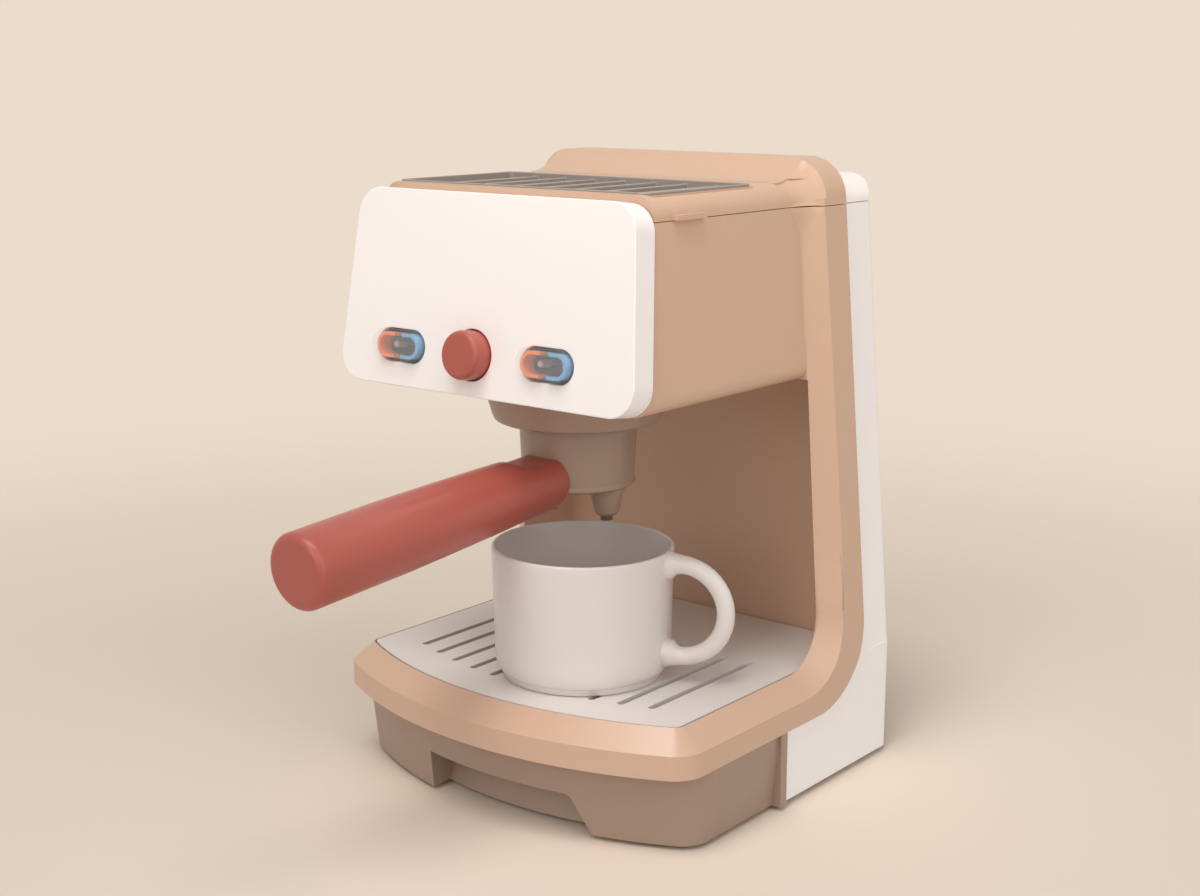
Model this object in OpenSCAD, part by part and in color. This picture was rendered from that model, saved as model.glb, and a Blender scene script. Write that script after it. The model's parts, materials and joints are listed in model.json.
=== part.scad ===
// Toy espresso machine: housing, hinged lid, twisting filter handle, push button,
// lift-out drip plate and a cup. Millimetres, +Z up, front towards -Y, standing on z = 0.

/* [Heights] */
// Gap under the base, which is how far the rubber feet stand out
foot_gap = 2; // [1:0.5:4]
// Height of the drip plate's top, level with the inner edge of the front frame
plate_z = 53; // [49:1:60]
// Height of the underside of the head
head_z = 177; // [173:0.5:185]
// Height of the seam where the lid starts
seam_z = 250; // [246:0.5:254]
// Height of the flat deck on the lid
deck_z = 260.2; // [259:0.2:264]
// Height of the top of the arch behind the deck
arch_z = 269.8; // [268:0.2:276]

/* [Widths] */
// Half width of the front frame at the drip plate
outer_low = 96.2; // [93:0.2:102]
// Half width of the front frame at the seam
outer_top = 79.6; // [78:0.2:84]
// Half width of the brewing space at the drip plate
inner_low = 86.3; // [85:0.1:88]
// Half width of the head at the seam
inner_top = 72.3; // [70:0.1:73]

/* [Depths from the brewing axis] */
// From the brewing axis forward to the drip plate's front edge
plate_reach = 63.3; // [60:0.5:70]
// From the brewing axis back to the front edge of the columns
column_reach = 59.2; // [56:0.2:62]
// From the brewing axis back to the rear wall of the brewing space
niche_reach = 95.7; // [93:0.1:96]
// From the brewing axis back to the outer rear face
rear_reach = 109; // [106:0.1:113]
// From the brewing axis forward to the lower edge of the fascia
fascia_reach = 63.7; // [61:0.1:67]

/* [Front frame] */
// Radius in plan of the curved front edge of the drip plate
front_r = 184.5; // [160:0.5:260]
// Radius in plan of the drip plate's front corners
plate_corner_r = 5; // [3:0.5:7]
// How far the sloping band falls from its inner edge to its outer edge
band_drop = 8.4; // [7:0.1:10]
// Height of the upright band below the sloping one
band_h = 10.2; // [8:0.2:12]
// Depth of a column's outer flange, from the sloping band to its rear edge
flange_d = 15.6; // [12:0.2:18]
// Inner radius of the sweep from the base up into a column
sweep_r = 23; // [18:0.5:28]
// Radius of the sweep's outer rear edge
sweep_outer_r = 37; // [34:1:43]
// Radius of the arch's top corners
arch_r = 18; // [15:0.5:22]
// Wall thickness of the moulded housing parts
wall = 2.2; // [1.8:0.1:2.6]

/* [Head] */
// Radius of the head's lower long edges
head_low_r = 6; // [5.5:0.5:12]
// Radius of the head's upper long edges
head_top_r = 9; // [7:0.5:9.5]
// Radius of the hollow curve from the deck up to the arch
deck_fillet_r = 26; // [20:1:28]

/* [Fascia] */
// Half width of the fascia at its lower edge
fascia_low = 80; // [78:0.5:83]
// Half width of the fascia at its top edge
fascia_top = 72.9; // [71:0.1:75]
// Height of the fascia, measured up its sloping face
fascia_h = 81.2; // [80:0.2:82]
// How far the fascia leans back from upright, in degrees
fascia_tilt = 7.1; // [5:0.1:9]
// Depth of the fascia
fascia_d = 12; // [11.5:0.5:14]
// Corner radius of the fascia
fascia_r = 12; // [9:0.5:14]

/* [Controls] */
// Sideways place of the push button, from the middle
control_x = -4; // [-8:0.5:4]
// Height of the row of controls above the fascia's lower edge
control_h = 16.8; // [15:0.2:19]
// Distance from the button to each indicator
indicator_pitch = 39.7; // [36:0.1:43]
// Radius of the push button
button_r = 9.9; // [8.5:0.1:11]
// How far the push button stands out
button_proud = 8.2; // [7:0.2:10]
// How far the push button travels
button_travel = 3; // [2:0.5:4]
// Length of an indicator lens
lens_w = 26.6; // [22:0.2:30]
// Height of an indicator lens
lens_h = 13.6; // [11:0.2:15]
// How far an indicator lens stands out
lens_proud = 4; // [3:0.2:5]

/* [Brew group] */
// Radius of the collar where it meets the head
collar_top_r = 41.5; // [39:0.5:43]
// Radius of the collar at its lower edge
collar_low_r = 36.8; // [35.5:0.1:39]
// Height of the collar below the head
collar_h = 17; // [16.4:0.2:19]
// Radius of the filter cup at its mouth
cup_r = 25.4; // [24.5:0.1:26.4]
// Radius of the filter cup just above its foot
cup_low_r = 24.3; // [23.5:0.1:24.4]
// Height of the underside of the filter cup
cup_z = 131.7; // [129:0.1:134]
// How far a locking lug reaches out from the cup's axis
lug_reach = 31; // [29.5:0.1:31.5]
// Distance from the middle to each spout
spout_x = 15.6; // [13:0.1:16]
// Radius of a spout at the cup
spout_top_r = 8; // [7:0.1:8.4]
// Radius of a spout at its lower end
spout_low_r = 5.3; // [4.8:0.1:6]
// Length of a spout
spout_h = 11.6; // [10:0.2:13]
// Outer radius of a spout's outlet tube
outlet_r = 2.6; // [2.2:0.1:3]
// Length of the outlet tube that shows below a spout
outlet_h = 2.4; // [1.6:0.1:3.2]

/* [Handle] */
// From the brewing axis to the handle's end, along the handle
handle_len = 161.5; // [140:0.5:175]
// Radius of the handle near the cup
handle_root_r = 13.5; // [12.5:0.1:14.5]
// Radius of the handle at its end
handle_end_r = 15.1; // [14.6:0.1:17]
// Rounding of the handle's end
handle_round = 3; // [2:0.5:6]
// How far the handle droops towards its end, in degrees
handle_droop = 4; // [3:0.1:4.4]
// Height of the handle's axis above the underside of the cup, at the brewing axis
handle_rise = 6.8; // [6.4:0.1:9]

/* [Cup] */
// Outer radius of the cup's rim
mug_r = 38.9; // [36:0.1:39.4]
// Radius of the cup's foot
mug_foot_r = 34.4; // [30:0.1:35]
// Height of the cup
mug_h = 56.6; // [48:0.2:56.6]
// Wall thickness of the cup
mug_wall = 2; // [1.8:0.1:3]
// Sideways place of the cup on the plate
mug_x = 13; // [8:0.5:16]
// How far in front of the brewing axis the cup stands
mug_front = 12.8; // [10:0.1:14]
// Direction of the cup's handle, in degrees from +X towards the back
mug_turn = 18; // [10:1:24]
// Radius of the cup handle's loop, to the middle of its bar
loop_r = 20; // [18:0.1:21]
// Radius of the bar of the cup's handle
loop_bar_r = 3.8; // [3:0.1:4.5]
// Height of the loop's middle above the cup's foot
loop_z = 31.6; // [28:0.2:32]

/* [Drip plate] */
// Thickness of the drip plate
plate_t = 3; // [2.5:0.1:3.4]
// Number of slots on each side of the middle one
slot_side = 5; // [4:1:5]
// Distance between slots
slot_pitch = 12.84; // [11:0.02:13.2]
// Width of a slot
slot_w = 3.2; // [2.6:0.1:4]
// From the plate's front edge to the slots
slot_margin = 19.6; // [16:0.2:24]
// From the brewing axis back to the rear ends of the slots
slot_reach = 40.5; // [30:0.5:48]

/* [Base] */
// How far the skirt sits inside the frame at its sides
skirt_side = 0.8; // [0.6:0.2:3]
// How far the skirt sits inside the frame at the front
skirt_front = 8; // [7:0.5:12]
// How much the skirt tapers in towards the floor
skirt_taper = 3.5; // [1:0.5:4]
// Radius of the skirt's front corners
skirt_r = 17; // [15:1:24]
// From the brewing axis back to the skirt's rear end
skirt_reach = 21.4; // [19:0.2:23]
// From the middle to the upright end of the finger recess
grip_left = 33; // [28:1:40]
// From the middle to the sloping end of the finger recess, at the floor
grip_right = 52; // [47:1:56]
// The same at the top of the recess
grip_right_top = 43; // [34:1:46]
// Height of the finger recess
grip_h = 16.8; // [14:0.2:18]
// Depth of the finger recess at the floor
grip_low_d = 10; // [7:0.5:11]
// Depth of the finger recess at its top
grip_top_d = 16; // [12:0.5:17]

/* [Inside] */
// Outer radius of an AA cell
cell_r = 7.2; // [7:0.1:7.3]
// Length of an AA cell
cell_len = 50.5; // [49:0.5:51]
// Radius of the speaker
speaker_r = 18; // [15:0.5:20]
// Wall thickness of the water tank
tank_wall = 1.8; // [1.5:0.1:2.4]
// Depth of the water tank
tank_h = 58; // [50:1:60]

/* [Fits] */
// Gap between the lid and the housing along the seam
seam_gap = 0.3; // [0.2:0.05:0.4]
// Gap round loose parts
loose = 0.4; // [0.3:0.05:0.5]
// Running clearance of a pin in its bore
run_fit = 0.06; // [0.04:0.01:0.08]

/* [Hidden] */
$fn = 96;

far = 400;                       // longer than anything on the object
fixed_gap = 0.05;                // between parts that are screwed or glued together
tan_c = [0.85, 0.68, 0.55];
skirt_c = [0.66, 0.52, 0.43];
white_c = [0.95, 0.92, 0.89];
red_c = [0.76, 0.36, 0.31];
grey_c = [0.55, 0.52, 0.48];
steel_c = [0.75, 0.75, 0.76];
dark_c = [0.25, 0.22, 0.2];

// hinge
hinge_out = 2;                   // hinge axis behind the rear face
knuckle_r = 3.2;
hinge_pin_r = 1.5;
hinge_x = 45;
knuckle_w = 12;
hinge_z = seam_z + seam_gap / 2;

// the object's box is centred on the origin, from the handle's end to the hinge
handle_reach = (handle_len - handle_round) * cos(handle_droop)
    + (handle_end_r - handle_round) * sin(handle_droop) + handle_round;
brew_y = (handle_reach - rear_reach - hinge_out - knuckle_r) / 2;

y_plate = brew_y - plate_reach;
y_column = brew_y + column_reach;
y_niche = brew_y + niche_reach;
y_rear = brew_y + rear_reach;
y_fascia = brew_y - fascia_reach;
y_skirt = brew_y + skirt_reach;
y_flange = y_column + band_drop + flange_d;
y_hinge = y_rear + hinge_out;

frame_w = outer_low - inner_low; // width of the sloping band in plan
crease_z = plate_z - band_drop;
ring_z = crease_z - band_h;
frame_r = front_r + frame_w;
frame_corner_r = plate_corner_r + frame_w;
y_centre = y_plate + front_r;    // centre of the front curves
lean_out = atan((outer_low - outer_top) / (seam_z - plate_z));
lean_in = atan((inner_low - inner_top) / (seam_z - plate_z));
head_half_low = inner_half(head_z);
head_half_top = inner_half(deck_z);
fascia_z = head_z + 1;            // the head's underside shows below the fascia
base_z = foot_gap;               // underside of the base
floor_t = 2.4;
cover_inset = 1.3;               // rear cover inside the frame's flange
cover_wall = 2.4;
cover_step = 0.3;
cover_r = 6;
corner_bite = 0.05;              // so that a corner's curve crosses its flats cleanly
y_corner = corner_y(frame_r, outer_low, frame_corner_r);

function outer_half(z) = outer_low
    + (outer_top - outer_low) * max(0, z - plate_z) / (seam_z - plate_z);
function inner_half(z) = inner_low
    + (inner_top - inner_low) * max(0, z - plate_z) / (seam_z - plate_z);
function corner_y(r, half, rc) = y_centre - sqrt(pow(r - rc, 2) - pow(half - rc, 2));

// ---------- helpers ----------

// extrude a Y-Z outline along X, both ways from the middle
module along_x(half) rotate([90, 0, 90]) linear_extrude(2 * half, center = true) children();

// extrude an X-Z outline from y0 to y1
module along_y(y0, y1)
    rotate([90, 0, 0]) translate([0, 0, -y1]) linear_extrude(y1 - y0) children();

module both_sides() for (m = [0, 1]) mirror([m, 0, 0]) children();

// outline made of these points and their mirror images
module mirrored(p) polygon(concat(p, [for (i = [len(p) - 1:-1:0]) [-p[i][0], p[i][1]]]));

// symmetric trapezoid on its lower edge, with four rounded corners
module trapezoid(low, top, h, r_low, r_top) {
    lean = atan((low - top) / h);
    t_low = r_low / tan((90 - lean) / 2);
    t_top = r_top / tan((90 + lean) / 2);
    mirrored([[low - t_low, 0], [low - t_low * sin(lean), t_low * cos(lean)],
        [top + t_top * sin(lean), h - t_top * cos(lean)], [top - t_top, h]]);
    for (m = [0, 1]) mirror([m, 0]) {
        translate([low - t_low, r_low]) circle(r_low);
        translate([top - t_top, h - r_top]) circle(r_top);
    }
}

// plan outline with a curved front and rounded front corners, drawn in by d
module plan_outline(half, r, rc, d = 0, back = far, bite = 0) {
    xc = half - rc;
    yc = corner_y(r, half, rc);
    a = atan2(xc, y_centre - yc);
    difference() {
        intersection() {
            translate([0, y_centre]) circle(r - d, $fn = 240);
            translate([d - half, y_centre - r]) square([2 * (half - d), back - y_centre + r]);
        }
        if (rc - d > 0.5) for (m = [0, 1]) mirror([m, 0]) difference() {
            polygon([[xc, yc], [xc + far, yc], [xc + far, yc - far],
                [xc + far * sin(a), yc - far * cos(a)]]);
            translate([xc, yc]) circle(rc - d + bite);
        }
    }
}

// the same outline as a block whose sides draw in from d0 at z0 to d1 at z1
module plan_block(half, r, rc, z0, z1, d0, d1, back = far) {
    xc = half - rc;
    yc = corner_y(r, half, rc);
    a = atan2(xc, y_centre - yc);
    h = z1 - z0;
    difference() {
        intersection() {
            translate([0, y_centre, z0]) cylinder(h, r1 = r - d0, r2 = r - d1, $fn = 240);
            along_y(y_centre - r - 1, back) polygon([[d0 - half, z0], [half - d0, z0],
                [half - d1, z1], [d1 - half, z1]]);
        }
        both_sides() difference() {
            translate([0, 0, z0 - 1]) linear_extrude(h + 2) polygon([[xc, yc],
                [xc + far, yc], [xc + far, yc - far],
                [xc + far * sin(a), yc - far * cos(a)]]);
            translate([xc, yc, z0]) cylinder(h, r1 = rc - d0, r2 = rc - d1);
        }
    }
}

// side outline of the open brewing space, grown outwards by t
module throat(t) difference() {
    translate([y_column + t - far, plate_z - t]) square(far);
    difference() {
        translate([y_column - sweep_r, plate_z - t - 1])
            square([sweep_r + t + 1, sweep_r + t + 1]);
        translate([y_column - sweep_r, plate_z + sweep_r]) circle(sweep_r + t);
    }
}

// side outline that the frame stays inside, with its rear lower sweep, drawn in by t
module frame_side(t) {
    r = sweep_outer_r - t;
    y = y_flange - t;
    z = ring_z + t;
    difference() {
        translate([-far, z]) square([far + y, far]);
        difference() {
            translate([y - r, z - 1]) square([r + 1, r + 1]);
            translate([y - r, z + r]) circle(r);
        }
    }
}

// front outline of the frame and arch, drawn in by t
module frame_front(t) {
    zc = arch_z - arch_r;
    xc = outer_half(zc) - arch_r / cos(lean_out);
    top = arch_z - t;
    s = t / cos(lean_out);
    difference() {
        mirrored([[outer_low - s, 0], [outer_low - s, plate_z], [outer_half(top) - s, top]]);
        for (m = [0, 1]) mirror([m, 0]) difference() {
            polygon([[xc, zc], [xc, zc + far], [xc + far, zc + far],
                [xc + far * cos(lean_out), zc + far * sin(lean_out)]]);
            translate([xc, zc]) circle(arch_r - t);
        }
    }
}

// what the sloping band cuts off along one side of the frame, sunk by t
module side_slope(t) {
    slope = band_drop / frame_w;
    drop = t / cos(atan(slope));
    zs = plate_z + sweep_r;
    col_w = outer_half(seam_z / 2) - inner_half(seam_z / 2);
    col_slope = band_drop / col_w;
    over = 12;
    // along the base, a little into the front corner, whose cone lies below it
    along_y(y_corner - 1, y_column - sweep_r) polygon([
        [inner_low - over, plate_z + over * slope - drop],
        [outer_low + over, crease_z - over * slope - drop],
        [outer_low + over, zs], [inner_low - over, zs]]);
    // round the sweep
    translate([inner_low - over, y_column - sweep_r, zs]) rotate([0, 90, 0])
        cylinder(frame_w + 2 * over, r1 = sweep_r - over * slope + drop,
            r2 = sweep_r + (frame_w + over) * slope + drop);
    // up the column
    translate([inner_half(zs), 0, zs]) rotate([0, -lean_in, 0])
        linear_extrude(far) polygon([
            [-over, y_column - over * col_slope + drop],
            [col_w + over, y_column + (col_w + over) * col_slope + drop],
            [col_w + over, y_column - sweep_r], [-over, y_column - sweep_r]]);
}

// what the sloping band cuts off along the arch and round its corners, sunk by t
module arch_slope(t) {
    zc = arch_z - arch_r;
    xc = outer_half(zc) - arch_r / cos(lean_out);
    drop = t * sqrt(2);
    over = 4;
    module taper() translate([0, y_column - over, 0]) rotate([-90, 0, 0])
        cylinder(band_drop + 2 * over, r1 = arch_r - band_drop - over - drop,
            r2 = arch_r + over - drop);
    along_x(xc) polygon([
        [y_column - over, arch_z - band_drop - over - drop],
        [y_column + band_drop + over, arch_z + over - drop],
        [y_column - over, arch_z + over]]);
    both_sides() difference() {
        translate([xc, 0, zc]) along_y(y_column - over, y_column + band_drop + over - 1)
            polygon([[0, 0], [0, far], [far, far],
                [far * cos(lean_out), far * sin(lean_out)]]);
        translate([xc, 0, zc]) taper();
    }
}

// the whole frame as a filled block, drawn in by t
module frame_block(t) {
    drop = t / cos(atan(band_drop / frame_w));
    difference() {
        intersection() {
            along_x(outer_low + 1) difference() {
                frame_side(t);
                throat(t);
            }
            along_y(-far, far) frame_front(t);
            translate([0, 0, -1]) linear_extrude(far)
                plan_outline(outer_low, frame_r, frame_corner_r, t);
        }
        difference() {
            translate([-far / 2, y_corner - far, crease_z - drop]) cube([far, far, far]);
            translate([0, 0, -drop]) plan_block(outer_low, frame_r, frame_corner_r,
                crease_z - 1, plate_z + 1, -frame_w / band_drop,
                frame_w * (1 + 1 / band_drop));
        }
        both_sides() side_slope(t);
        arch_slope(t);
    }
}

// the head as a filled block, drawn in by t; t > 0 also runs it out at the front
module head_block(t, y_end) {
    z0 = head_z + t;
    h = deck_z - head_z - 2 * t;
    out = t > 0 ? fascia_d + 1 : 0;
    s = t / cos(lean_in);
    intersection() {
        translate([0, 0, z0]) along_y(-far, y_end)
            trapezoid(inner_half(z0) - s, inner_half(z0 + h) - s, h,
                head_low_r - t, head_top_r - t);
        along_x(far / 2) polygon([[back_of_fascia(head_z - 9) - out, head_z - 9],
            [back_of_fascia(deck_z + 9) - out, deck_z + 9], [far, deck_z + 9],
            [far, head_z - 9]]);
    }
}

function back_of_fascia(z) = y_fascia + fascia_d / cos(fascia_tilt)
    + (z - fascia_z) * tan(fascia_tilt);

// the brewing space and drip tray well, seen as one opening, from z0 to z1
module brew_space(grow, z0, z1) intersection() {
    along_y(-far, y_niche + grow) mirrored([[inner_low + grow, z0],
        [inner_low + grow, plate_z], [inner_half(z1) + grow, z1]]);
    translate([0, 0, z0]) linear_extrude(z1 - z0)
        plan_outline(outer_low, frame_r, frame_corner_r, frame_w - grow);
}

module below(z) intersection() {
    children();
    translate([-far / 2, -far / 2, z - far]) cube(far);
}

// place things on the fascia: x to the right, y up its face, z outwards
module on_fascia() translate([0, y_fascia, fascia_z]) rotate([90 - fascia_tilt, 0, 0])
    children();

module at_control(i) translate([control_x + i * indicator_pitch, control_h, 0]) children();

module capsule(w, h) {
    square([w - h, h], center = true);
    for (s = [-1, 1]) translate([s * (w - h) / 2, 0]) circle(h / 2);
}

// ---------- housing ----------

ledge_z = plate_z - plate_t - 6;           // top of the ledge that carries the basin
ledge_w = 6;
ledge_t = 2.4;
boss_x = inner_low - 3.3;
boss_y = [brew_y - 34, brew_y + 62];
boss_r = 3.6;
boss_split_z = base_z + 18;                // where base towers meet housing bosses
screw_r = 1.5;
screw_head_r = 3;
pipe_r = 4;                                // water pipe, outside
edge_cut = 0.15;                           // opening cut a little into the band's slope

module front_shell() color(tan_c) difference() {
    below(seam_z) union() {
        difference() {
            union() {
                frame_block(0);
                head_block(0, y_niche + wall);
                // side and rear walls of the brewing space, behind the frame
                intersection() {
                    brew_space(wall, ring_z, head_z + head_low_r + 2);
                    along_x(far / 2) difference() {
                        translate([y_flange - sweep_outer_r, 0]) square(far);
                        throat(band_drop);
                    }
                }
            }
            // hollow columns and band
            difference() {
                frame_block(wall);
                brew_space(wall, 0, far);
            }
            head_block(wall, far);
            brew_space(edge_cut, 0, head_z);
        }
        // ledge round the drip tray well
        translate([0, 0, ledge_z - ledge_t]) linear_extrude(ledge_t) difference() {
            plan_outline(outer_low, frame_r, frame_corner_r, frame_w - 1, y_niche + 1);
            plan_outline(outer_low, frame_r, frame_corner_r, frame_w + ledge_w,
                y_niche - ledge_w);
        }
        // screw bosses
        both_sides() for (y = boss_y) translate([boss_x, y, boss_split_z + 0.3])
            cylinder(ledge_z - boss_split_z - 1, r = boss_r);
        for (p = cover_screw_xz) translate([p[0], y_niche + wall / 2, p[1]])
            rotate([-90, 0, 0])
                cylinder(cover_boss_end(p[1]) - y_niche - wall / 2, r = boss_r);
    }
    both_sides() for (y = boss_y) translate([boss_x, y, boss_split_z])
        cylinder(16, r = screw_r + run_fit);
    for (p = cover_screw_xz) translate([p[0], y_niche + wall + 0.2, p[1]])
        rotate([-90, 0, 0]) cylinder(far, r = screw_r + run_fit);
    // where the water pipe passes down to the brew group
    translate([0, brew_y, head_z - 1]) cylinder(wall + 2, r = pipe_r + loose);
}

skirt_half = outer_low - skirt_side;
skirt_plan_r = frame_r - skirt_front;
tower_r = 5;
tower_sink = 8;                            // depth of the screw wells
door_w = 62;
door_l = 66;
door_y = brew_y + 46;
door_lip = 3;                              // lip round the door's opening, outside it
door_rest = 8;                             // and over the door's edge, front and rear
grille_y = brew_y - 18;

module skirt_block(d, z0, z1, back) {
    rise = ring_z - base_z;
    plan_block(skirt_half, skirt_plan_r, skirt_r, z0, z1,
        d + skirt_taper * (ring_z - z0) / rise, d + skirt_taper * (ring_z - z1) / rise,
        back);
}

grip_r = 4;
grip_skirt_r = skirt_plan_r - skirt_taper;

// front outline of the finger recess, grown by t: one end upright, one sloping
module grip_outline(t) {
    lean = atan((grip_right - grip_right_top) / grip_h);
    r = grip_r + t;
    reach = r / tan((90 + lean) / 2);
    low = grip_right + t / cos(lean);
    top = grip_right_top + t / cos(lean) - t * tan(lean);
    polygon([[-grip_left - t, -1], [low + tan(lean), -1],
        [top + reach * sin(lean), grip_h + t - reach * cos(lean)],
        [top - reach, grip_h + t], [-grip_left - t, grip_h + t]]);
    translate([top - reach, grip_h + t - r]) circle(r + corner_bite);
}

// the finger recess, grown by t, undercut towards its top
module grip_space(t) translate([0, 0, base_z]) intersection() {
    along_y(-far, brew_y) grip_outline(t);
    difference() {
        translate([-far / 2, y_centre - far, -1]) cube([far, far, far]);
        translate([0, y_centre, -2]) cylinder(grip_h + 4,
            r1 = grip_skirt_r - grip_low_d - t + 2 * grip_slope,
            r2 = grip_skirt_r - grip_top_d - t - 2 * grip_slope, $fn = 240);
    }
}

grip_slope = (grip_top_d - grip_low_d) / grip_h;

module base_skirt() color(skirt_c) difference() {
    union() {
        difference() {
            skirt_block(0, base_z, ring_z - fixed_gap, y_skirt);
            skirt_block(wall, base_z + floor_t, ring_z + 1, far);
        }
        // floor carried on under the rear cover
        translate([0, 0, base_z]) linear_extrude(floor_t) polygon([
            [-cover_floor_half, y_skirt - 1], [cover_floor_half, y_skirt - 1],
            [cover_floor_half, y_rear - cover_wall - cover_r],
            [cover_floor_half - cover_r, y_rear - cover_wall - loose],
            [cover_r - cover_floor_half, y_rear - cover_wall - loose],
            [-cover_floor_half, y_rear - cover_wall - cover_r]]);
        // end ribs that cover the joint with the rear cover
        both_sides() translate([skirt_half - skirt_taper - 1, y_skirt - 4.6, base_z])
            cube([skirt_taper + 1.8, 4.6, ring_z - base_z - fixed_gap]);
        // walls round the finger recess
        intersection() {
            grip_space(wall);
            skirt_block(0, base_z, ring_z, y_skirt);
        }
        // screw towers
        both_sides() for (y = boss_y) translate([boss_x, y, base_z])
            cylinder(boss_split_z - base_z, r = tower_r);
        // speaker ring
        translate([0, grille_y, base_z]) cylinder(floor_t + 4, r = speaker_r + 2.5);
        // lip round the battery door
        translate([-door_w / 2 - door_lip, door_y - door_l / 2 - door_lip, base_z + 1])
            cube([door_w + 2 * door_lip, door_l + 2 * door_lip, floor_t + 1]);
    }
    grip_space(0);
    // shallow groove in front of the end rib
    both_sides() translate([skirt_half - 0.8, y_skirt - 7.6, base_z - 1])
        cube([2, 3, far]);
    both_sides() for (y = boss_y) translate([boss_x, y, base_z - 1]) {
        cylinder(tower_sink + 1, r = screw_head_r + loose);
        cylinder(far, r = screw_r + 0.3);
    }
    // speaker seat and sound holes
    translate([0, grille_y, base_z + floor_t]) cylinder(far, r = speaker_r + loose);
    translate([0, grille_y, base_z - 1]) for (ring = [0:2])
        for (k = [0:max(0, 6 * ring - 1)]) rotate(60 * k / max(1, ring))
            translate([5 * ring, 0, 0]) cylinder(floor_t + 2, r = 1.4);
    // battery door opening, stepped so that the door sits flush
    translate([-door_w / 2 - loose, door_y - door_l / 2 - loose, base_z - 1])
        cube([door_w + 2 * loose, door_l + 2 * loose, floor_t + 1]);
    translate([4 - door_w / 2, door_y - door_l / 2 + door_rest, base_z])
        cube([door_w - 8, door_l - 2 * door_rest, floor_t + 9]);
    translate([0, screw_y, base_z]) cylinder(9, r = screw_r + run_fit);
    // seats for the rubber feet
    for (p = foot_xy) translate([p[0], p[1], base_z - 1]) cylinder(2, r = foot_r + run_fit);
}

cover_half_low = outer_low - cover_inset;
cover_floor_half = cover_half_low - cover_wall - loose;
cover_z = base_z + 0.6;
cover_screw_xz = [[-56, 44], [56, 44], [-48, 150], [48, 150]];
well_d = 1.4;                              // depth of a screw well in the rear cover
foot_r = 6;
foot_xy = [[-66, brew_y - 30], [66, brew_y - 30], [-80, brew_y + 90], [80, brew_y + 90]];

// outside of the rear cover's rear wall, and the end of a boss that reaches it
function cover_back(z) = y_rear - (z > plate_z ? cover_step : 0);
function cover_boss_end(z) = cover_back(z) - cover_wall - fixed_gap;
function cover_half(z, t) = outer_half(z) - cover_inset - t / cos(lean_out);

// the rear housing as a filled block with rounded rear corners, drawn in by t: upright
// below the plate, then a fine step, and leaning in above it
module cover_block(t, z0, z1) {
    half = cover_half(plate_z, t);
    r = cover_r - t;
    ru = r - cover_step;
    upper = t + cover_step;
    zu = max(z0, plate_z);
    if (z0 < plate_z) translate([0, 0, z0]) linear_extrude(plate_z - z0) {
        translate([-half, 0]) square([2 * half, y_rear - t - r]);
        translate([r - half, 0]) square([2 * (half - r), y_rear - t]);
        for (m = [0, 1]) mirror([m, 0]) translate([half - r, y_rear - t - r]) circle(r);
    }
    difference() {
        along_y(0, y_rear - upper)
            mirrored([[cover_half(zu, upper), zu], [cover_half(z1, upper), z1]]);
        both_sides() translate([cover_half(plate_z, upper) - ru / cos(lean_out),
            y_rear - upper - ru, plate_z]) rotate([0, -lean_out, 0]) difference() {
                translate([0, 0, -1]) cube(far);
                translate([0, 0, -2]) cylinder(far + 4, r = ru + corner_bite);
            }
    }
}

module rear_cover() color(white_c) difference() {
    union() {
        difference() {
            cover_block(0, cover_z, seam_z);
            cover_block(cover_wall, cover_z - 1, seam_z + 1);
            // everything that the front frame covers
            along_x(far / 2) frame_side(-fixed_gap);
            translate([-far / 2, -1, 0]) cube([far, y_skirt + fixed_gap + 1, far]);
        }
        both_sides() for (s = [-1, 1]) hinge_knuckle(hinge_x + s * (knuckle_w + 0.4));
    }
    // wells and holes for the cover screws
    for (p = cover_screw_xz) translate([p[0], cover_back(p[1]) + 1, p[1]]) rotate([90, 0, 0]) {
        cylinder(1 + well_d, r = screw_head_r + loose);
        cylinder(far / 8, r = screw_r + 0.3);
    }
    both_sides() {
        // room for the lid's knuckles
        translate([hinge_x, y_hinge, hinge_z]) rotate([0, 90, 0])
            cylinder(knuckle_w + 0.4, r = knuckle_r + loose, center = true);
        hinge_bore();
    }
}

module hinge_knuckle(x) translate([x, y_hinge, hinge_z]) rotate([0, 90, 0])
    cylinder(knuckle_w, r = knuckle_r, center = true);

module hinge_bore() translate([hinge_x, y_hinge, hinge_z]) rotate([0, 90, 0])
    cylinder(4 * knuckle_w, r = hinge_pin_r + run_fit, center = true);

module hinge_pins() color(steel_c) both_sides() translate([hinge_x, y_hinge, hinge_z])
    rotate([0, 90, 0]) cylinder(3 * knuckle_w + 0.8, r = hinge_pin_r, center = true);

// ---------- fascia and controls ----------

panel_t = 2.5;
rim_t = 4;                                 // wall round the fascia
guide_end = -11;                           // rear end of the button's guide tube
flange_z = guide_end - 0.3;                // front of the button's retaining flange
flange_t = 1.5;
stem_end = flange_z - flange_t - 1;
switch_h = button_travel + 2;
plunger_r = 1.8;
board_z = stem_end - 2 * fixed_gap - button_travel - switch_h; // front of the board
board_t = 1.6;
board_w = 130;
board_h = 24;
post_x = board_w / 2 - 5;
pilot_r = 1.1;

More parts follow.
